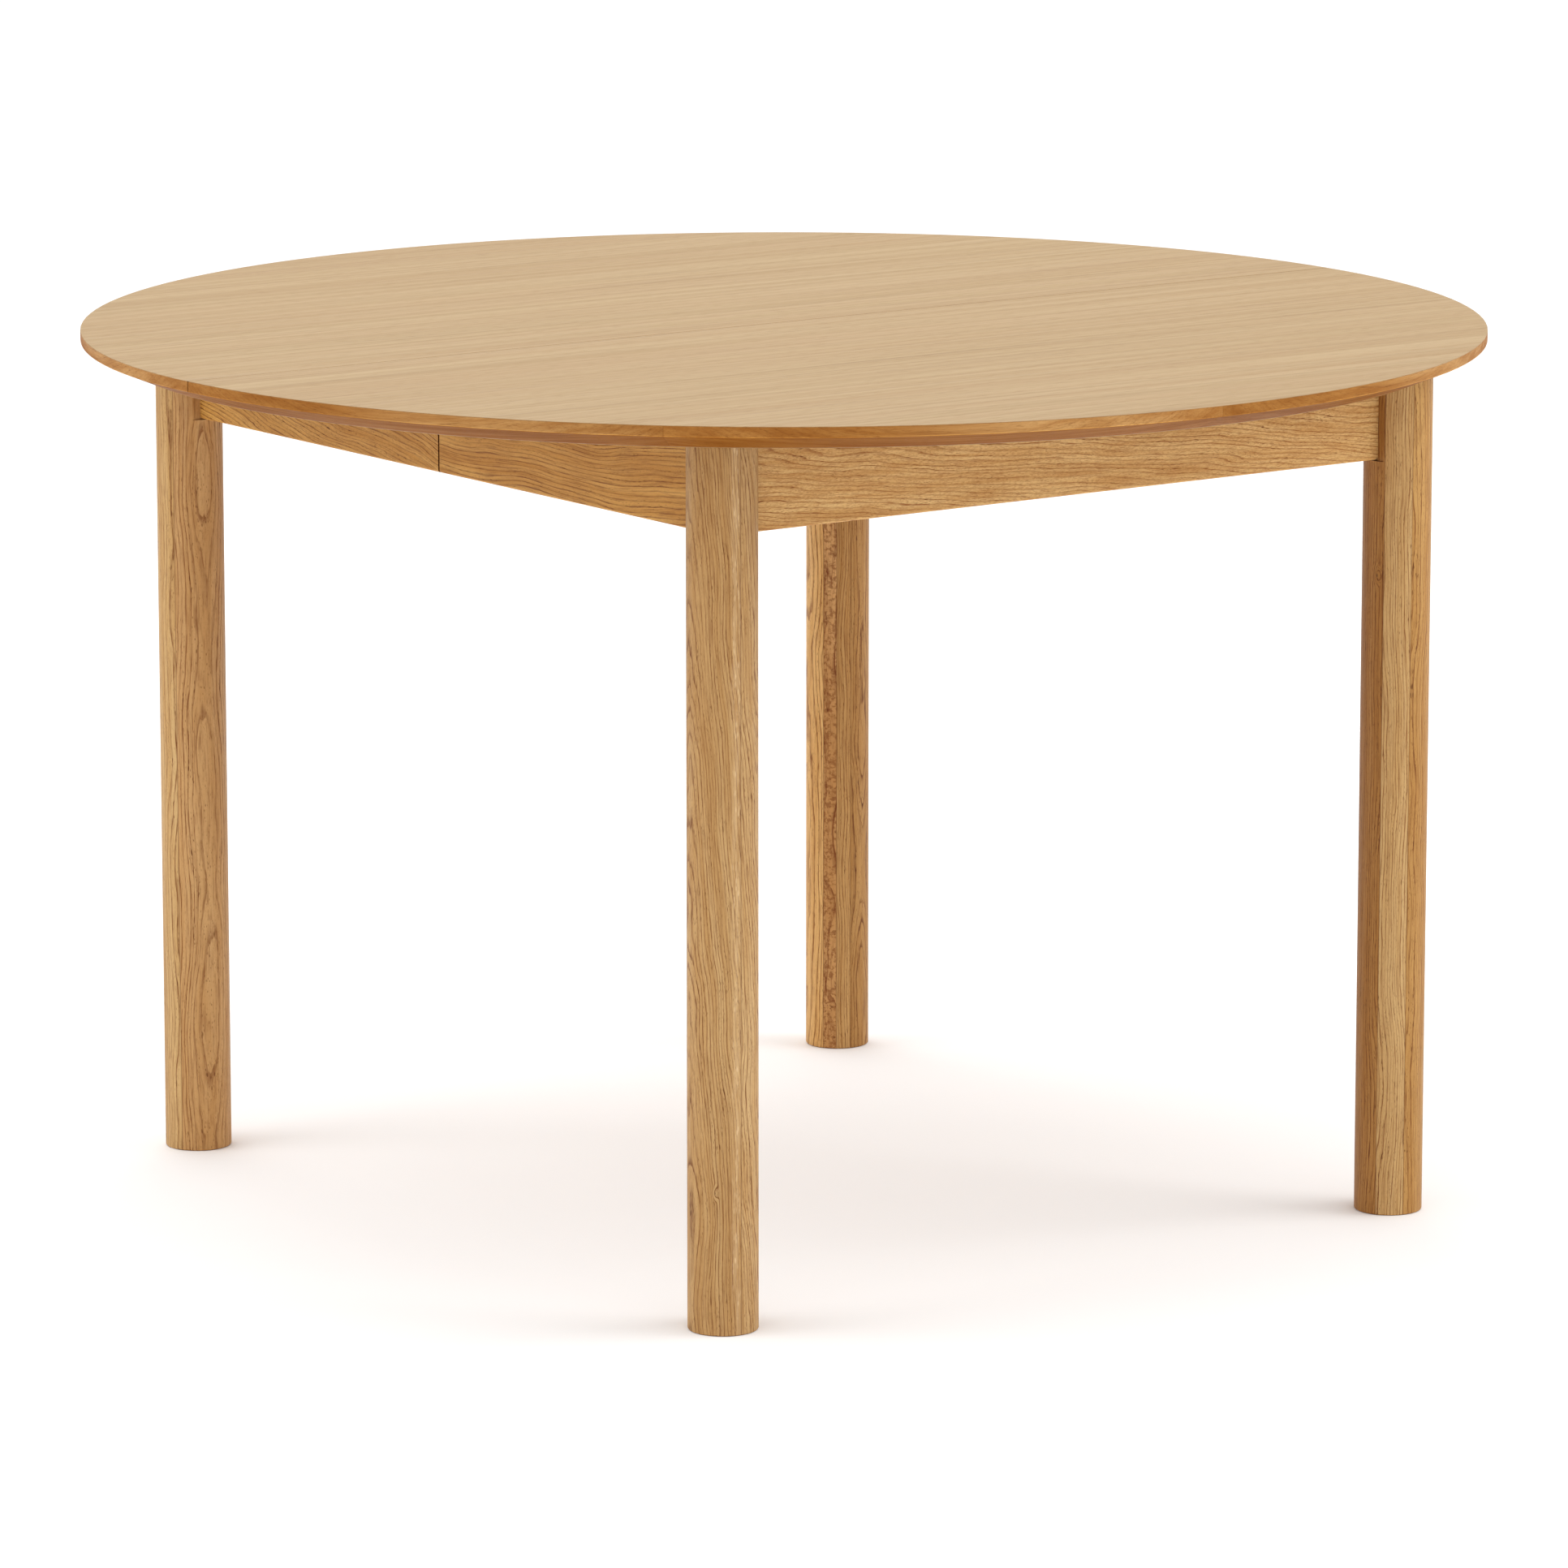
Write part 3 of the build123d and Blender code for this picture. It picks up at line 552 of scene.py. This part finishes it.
def rim_material():
    """Lipping in straight-grained segments, four to each half, so that the grain runs out at the ends of
    each one. A painted sheen pales the upright edge a little off the middle of each segment."""
    g = Graph("oak_rim")
    x, y, z = g.place()
    out = g.distance(x, y)
    angle = g.math("ARCTAN2", y, x)
    number = g.math("FLOOR", g.times(angle, 1 / SEGMENT_ANGLE))
    own_tone = g.lot(number, SEGMENT_LOTS, 3.0)
    swing = g.less(angle, g.times(g.add(number, 0.5), SEGMENT_ANGLE))
    lengthwise = g.times(out, g.math("SINE", swing))
    across = g.add(g.times(out, g.math("COSINE", swing)), g.times(number, SEGMENT_SHIFT))
    ring = g.add(across, g.times(z, RIM_SLOPE))
    wave = g.noise(g.stretch((across, z, lengthwise), (0.05, 0.05, 0.16), 2.0), 2.0)
    ring = g.add(ring, g.times(g.less(wave, 0.5), RIM_SWAY))
    colour, relief, rough = oak(
        g, (ring, z, lengthwise), RIM_OAK, RIM_SPACING, RIM_RINGS, RIM_DASHES, RIM_CURL, RIM_SEED)

    facing = g.facing()
    # Painted sheen: the upright edge is paler and less saturated a little off the middle of each segment.
    painted_sheen = g.fade(g.absolute(g.less(swing, SHEEN_ANGLE)), 0.04, 0.30)
    upright = g.fade(facing[2], 0.30, 0.80)
    painted_sheen = g.times(g.times(painted_sheen, upright), SHEEN_STRENGTH)
    colour = g.tint(painted_sheen, colour, RIM_SHEEN_TINT)
    # Painted shade: the downward-facing bevel is darker and less blue than the upright band.
    colour = g.mix(upright, g.tint(1.0, colour, RIM_UNDERSIDE_SHADE), colour)
    colour = g.tint(g.ramp(own_tone, 0.3, 0.7, 0.0, 0.5), colour, SEGMENT_TINT)
    to_joint = g.less(SEGMENT_ANGLE / 2, g.absolute(swing))  # the angle left to the segment's end
    seam = g.fade(to_joint, 0.0, SEAM_WIDTH / RADIUS, RIM_SEAM_STRENGTH)
    colour = g.mix(seam, colour, RIM_OAK.pore)

    # The rounded arrises carry a painted highlight in uneven patches, and the ends sawn across at the split
    # took up more oil.
    arris = g.times(g.ramp(facing[2], 0.02, 0.30), g.fade(facing[2], 0.72, 0.90))
    patches = g.noise(g.stretch((x, y, z), (0.03, 0.03, 0.03), 5.0), 2.0)
    colour = g.tint(g.times(arris, g.ramp(patches, 0.3, 0.7, 0.45, 1.0)), colour, RIM_ARRIS_HIGHLIGHT)
    sawn_end = g.times(g.ramp(facing[1], 0.7, 0.95), g.fade(g.absolute(y), 0.002, 0.004))
    colour = g.tint(sawn_end, colour, RIM_END_TINT)
    return g.finish(colour, rough, g.bump(relief, PORE_DEPTH), RIM_SPECULAR)


# Layers of noise in the veneer, in the same form as for oak. Sizes are across the leaves, from leaf to leaf
# and lengthwise.
VENEER_LAYERS = {
    "broad": ((0.040, 1.0, 1.60), 3.0, 2.0, 0.5),
    "bands": ((0.0085, 1.0, 0.90), 4.0, 3.0, 0.6),
    "streaks": ((0.0030, 1.0, 0.50), 5.0, 3.0, 0.65),
    "fine": ((0.0010, 1.0, 0.10), 6.0, 3.0, 0.6),
}
LEAF_WIDTH = 0.165
LEAF_SHIFT = 0.37  # moves each leaf to wood of its own
LEAF_LOTS = 0.137  # step between the random values drawn for the leaves
LEAF_SEAM_WIDTH = 0.0005
LEAF_SEAM_STRENGTH = 0.35
GRAIN_DRIFT = 0.018  # how far the grain strays from straight
VENEER_PORES = (0.0019, 1.0, 0.026)
VENEER_PORE_STRENGTH = 0.22
SPECKS = (0.17, 1.0, 0.21)  # how far apart the few dark specks lie
SPECK_STRENGTH = 0.8


def veneer_material():
    """Quarter-cut face veneer: straight, pale and close-grained, laid in wide leaves."""
    g = Graph("oak_face_veneer")
    x, y, _ = g.place()
    drift = g.noise(g.stretch((y, 0.0, x), (0.30, 1.0, 0.80), 1.0), 2.0)
    across = g.add(y, g.times(drift, GRAIN_DRIFT))
    leaf = g.math("FLOOR", g.times(across, 1 / LEAF_WIDTH))
    own_tone = g.lot(leaf, LEAF_LOTS, 2.0)
    parts = (across, g.times(leaf, LEAF_SHIFT), x)
    layer = g.layers(parts, VENEER_LAYERS)
    dashes = pores(g, parts, VENEER_PORES, 0.34, 7.0)
    specks = g.fade(g.cells(g.stretch((across, 0.0, x), SPECKS, 8.0)), 0.003, 0.008)

    colour = g.mix(g.ramp(layer["bands"], 0.30, 0.70), VENEER_LIGHT, VENEER_MID)
    colour = g.mix(g.ramp(layer["broad"], 0.30, 0.70, 0.0, 0.45), colour, VENEER_STRIPE)
    colour = g.mix(g.ramp(own_tone, 0.35, 0.65, 0.0, 0.16), colour, VENEER_MID)
    colour = g.mix(g.ramp(layer["streaks"], 0.50, 0.75, 0.0, 0.42), colour, VENEER_STREAK)
    colour = g.mix(g.ramp(layer["fine"], 0.46, 0.80, 0.0, 0.26), colour, VENEER_STREAK)
    colour = g.mix(g.times(dashes, VENEER_PORE_STRENGTH), colour, VENEER_PORE)
    colour = g.mix(g.times(specks, SPECK_STRENGTH), colour, KNOT_COLOUR)
    from_seam = g.math("FRACT", g.times(across, 1 / LEAF_WIDTH))
    seam = g.fade(from_seam, 0.0, LEAF_SEAM_WIDTH / LEAF_WIDTH, LEAF_SEAM_STRENGTH)
    colour = g.mix(seam, colour, VENEER_STREAK)

    # The veneer's thin edge is darker than its face, and inside the split it is darker still with painted
    # shade.
    edge = g.fade(g.facing()[2], 0.3, 0.7)
    colour = g.tint(edge, colour, VENEER_EDGE_TINT)
    split = g.times(edge, g.fade(g.absolute(y), 0.001, 0.002))
    colour = g.tint(split, colour, SPLIT_SHADE_TINT)
    sunk = g.times(g.add(g.times(layer["fine"], 0.4), dashes), -1.0)
    rough = g.add(g.ramp(layer["bands"], 0.2, 0.8, 0.46, 0.54), g.times(dashes, 0.10))
    return g.finish(colour, rough, g.bump(sunk, VENEER_PORE_DEPTH), VENEER_SPECULAR)


# ------------------------------------------------------------------ hidden timber, board and metal
def plain_wood(name, axis, light, dark, roughness):
    """Waxed or raw timber of the hidden pieces: straight grain with small flecks."""
    g = Graph(name)
    parts = turned(g.place(), axis)
    soft = g.noise(g.stretch(parts, (0.007, 0.007, 0.25)), 3.0)
    fine = g.noise(g.stretch(parts, (0.0010, 0.0010, 0.04)), 3.0, 0.6)
    flecks = pores(g, parts, (0.0022, 0.0022, 0.007), 0.30)
    colour = g.mix(g.ramp(soft, 0.25, 0.75), light, dark)
    colour = g.mix(g.ramp(fine, 0.48, 0.82, 0.0, 0.4), colour, dark)
    colour = g.mix(g.times(flecks, 0.35), colour, dark)
    end = g.ramp(g.facing()[AXES.index(axis)], 0.5, 0.9, 0.0, 0.8)
    colour = g.tint(end, colour, END_GRAIN_TINT)
    rough = g.ramp(fine, 0.2, 0.8, roughness - 0.05, roughness + 0.08)
    return g.finish(colour, rough, g.bump(g.times(fine, -1.0), HIDDEN_WOOD_DEPTH), HIDDEN_WOOD_SPECULAR)


def particle_board():
    """Raw particle board: pressed chips of mixed tone."""
    g = Graph("particle_board")
    parts = g.place()
    chips = g.cells(g.stretch(parts, (0.0024, 0.0024, 0.0024)))
    tones = g.noise(g.stretch(parts, (0.004, 0.004, 0.004)), 4.0, 0.7)
    colour = g.mix(g.ramp(chips, 0.1, 0.7), CHIP_LIGHT, CHIP_DARK)
    colour = g.mix(g.ramp(tones, 0.35, 0.7, 0.0, 0.6), colour, CHIP_MID)
    rough = g.ramp(tones, 0.2, 0.8, 0.75, 0.9)
    return g.finish(colour, rough, g.bump(tones, CHIP_DEPTH), PARTICLE_BOARD_SPECULAR)


def metal(name, colour, worn, roughness, metallic=1.0):
    """Plated or lacquered steel with a fine uneven film and faint wear."""
    g = Graph(name)
    parts = g.place()
    film = g.noise(g.stretch(parts, (0.006, 0.006, 0.006)), 4.0, 0.6)
    grains = g.noise(g.stretch(parts, (0.0008, 0.0008, 0.0008)), 2.0)
    colour = g.mix(g.ramp(film, 0.35, 0.7, 0.0, 0.7), colour, worn)
    rough = g.add(g.ramp(film, 0.3, 0.75, roughness, roughness + 0.16), g.times(grains, 0.05))
    return g.finish(colour, rough, g.bump(grains, METAL_DEPTH), METAL_SPECULAR, metallic)


# ------------------------------------------------------------------ dress every node
dress(veneer_material(), "face_veneer")
dress(rim_material(), "rim_lipping")
for board_name, board_cut in BOARDS.items():
    if board_name.startswith("end"):
        dress(board_material(board_name, "x", GOLDEN_OAK, **board_cut), board_name)
    else:
        dress(board_material(board_name, "y", TAWNY_OAK, **board_cut), board_name)
for leg_name, leg_look in LEGS.items():
    dress(leg_material(leg_name, LEG_OAK, **leg_look), leg_name)
dress(plain_wood("joint_lipping_oak", "x", srgb(176, 128, 76), srgb(134, 86, 44), 0.5), "joint_lipping")
dress(plain_wood("backing_veneer_oak", "x", srgb(176, 140, 96), srgb(146, 106, 64), 0.55), "backing_veneer")
dress(particle_board(), "core_board")
dress(plain_wood("hardwood_cleats", "y", srgb(186, 152, 106), srgb(156, 116, 70), 0.65),
      "cleats", "rail_packers", "aligning_dowels")
dress(plain_wood("beech_runners", "y", srgb(190, 146, 102), srgb(160, 110, 68), 0.5),
      "rail_front", "rail_rear", "rail_middle")
dress(metal("zinc_plate", srgb(178, 181, 184), srgb(146, 150, 155), 0.28),
      "corner_bracket", "hanger_bolts", "washers", "nuts", "stop_pins", "lock_spacers")
dress(metal("yellow_zinc", srgb(186, 162, 104), srgb(150, 130, 92), 0.30),
      "bracket_screws", "top_screws", "rail_screws")
dress(metal("black_lacquer", srgb(30, 30, 31), srgb(52, 51, 50), 0.38, 0.0),
      "lock_hook", "lock_pivots", "catch_pins")

# ------------------------------------------------------------------ floor, light and camera
FLOOR_SIZE = 80.0
FLOOR_COLOUR = (0.94, 0.94, 0.94, 1)

# Strength of the studio's light at the horizon and overhead, and of the backdrop as the camera sees it.
HORIZON_LIGHT = 0.70
ZENITH_LIGHT = 1.35
BACKDROP = 1.10

# Lights: azimuth and elevation in degrees, distance and size in metres, power in watts.
LIGHTS = {
    "left": (-110, 42, 5.0, 2.6, 45),
    "right": (50, 34, 5.5, 3.2, 90),
    "back": (160, 55, 5.0, 3.0, 40),
}

CAMERA_SENSOR = 36.0  # millimetres, as is the lens
CAMERA_LENS = 199.4
CAMERA_AZIMUTH = -35.85  # degrees, from straight in front towards the left
CAMERA_PITCH = 10.96  # degrees downwards
CAMERA_DISTANCE = 7.367  # along the floor
CAMERA_HEIGHT = 1.774
CAMERA_FAR = 200


def make_floor():
    """Wide pale floor. Its underside lets light and sight through, so views from below see the table."""
    bpy.ops.mesh.primitive_plane_add(size=FLOOR_SIZE, location=(0, 0, 0))
    floor = bpy.context.object
    floor.name = "floor"
    material = bpy.data.materials.new("pale_floor")
    material.use_nodes = True
    nodes = material.node_tree.nodes
    links = material.node_tree.links
    nodes.clear()
    diffuse = nodes.new("ShaderNodeBsdfDiffuse")
    diffuse.inputs["Color"].default_value = FLOOR_COLOUR
    clear = nodes.new("ShaderNodeBsdfTransparent")
    side = nodes.new("ShaderNodeNewGeometry")
    blend = nodes.new("ShaderNodeMixShader")
    output = nodes.new("ShaderNodeOutputMaterial")
    links.new(side.outputs["Backfacing"], blend.inputs[0])
    links.new(diffuse.outputs[0], blend.inputs[1])
    links.new(clear.outputs[0], blend.inputs[2])
    links.new(blend.outputs[0], output.inputs[0])
    floor.data.materials.append(material)


def make_light(name, azimuth, elevation, distance, size, power):
    """Soft square light that faces the middle of the table. Azimuth 0 is in front, and 90 to the right."""
    data = bpy.data.lights.new(name, "AREA")
    data.shape = "SQUARE"
    data.size = size
    data.energy = power
    light = bpy.data.objects.new(name, data)
    bpy.context.scene.collection.objects.link(light)
    turn = math.radians(azimuth)
    rise = math.radians(elevation)
    away = Vector((math.sin(turn) * math.cos(rise), -math.cos(turn) * math.cos(rise), math.sin(rise)))
    light.location = Vector((0, 0, HEIGHT / 2)) + away * distance
    light.rotation_mode = "QUATERNION"
    light.rotation_quaternion = (-away).to_track_quat("-Z", "Y")


def make_world():
    """White studio: its light rises from the horizon to overhead, and its backdrop is plain."""
    world = bpy.data.worlds.new("studio")
    bpy.context.scene.world = world
    world.use_nodes = True
    nodes = world.node_tree.nodes
    links = world.node_tree.links
    source = nodes.new("ShaderNodeTexCoord")
    parts = nodes.new("ShaderNodeSeparateXYZ")
    rise = nodes.new("ShaderNodeMapRange")
    rise.inputs["To Min"].default_value = HORIZON_LIGHT
    rise.inputs["To Max"].default_value = ZENITH_LIGHT
    path = nodes.new("ShaderNodeLightPath")
    seen = nodes.new("ShaderNodeMix")
    given, plain, result = MIX_NUMBER_SOCKETS
    seen.inputs[plain].default_value = BACKDROP
    background = nodes["Background"]
    background.inputs["Color"].default_value = (1, 1, 1, 1)
    links.new(source.outputs["Generated"], parts.inputs[0])
    links.new(parts.outputs["Z"], rise.inputs["Value"])
    links.new(path.outputs["Is Camera Ray"], seen.inputs["Factor"])
    links.new(rise.outputs["Result"], seen.inputs[given])
    links.new(seen.outputs[result], background.inputs["Strength"])


def make_camera():
    """Camera in front and to the left of the table, looking down at it from a little above the top."""
    data = bpy.data.cameras.new("camera")
    data.sensor_width = CAMERA_SENSOR
    data.lens = CAMERA_LENS
    data.clip_end = CAMERA_FAR
    camera = bpy.data.objects.new("camera", data)
    bpy.context.scene.collection.objects.link(camera)
    turn = math.radians(CAMERA_AZIMUTH)
    dip = math.radians(CAMERA_PITCH)
    camera.location = (math.sin(turn) * CAMERA_DISTANCE, -math.cos(turn) * CAMERA_DISTANCE, CAMERA_HEIGHT)
    forwards = Vector((-math.sin(turn) * math.cos(dip), math.cos(turn) * math.cos(dip), -math.sin(dip)))
    camera.rotation_mode = "QUATERNION"
    camera.rotation_quaternion = forwards.to_track_quat("-Z", "Y")
    bpy.context.scene.camera = camera


make_floor()
make_world()
for light_name, light_place in LIGHTS.items():
    make_light(light_name, *light_place)
make_camera()
bpy.context.scene.view_settings.view_transform = "Standard"
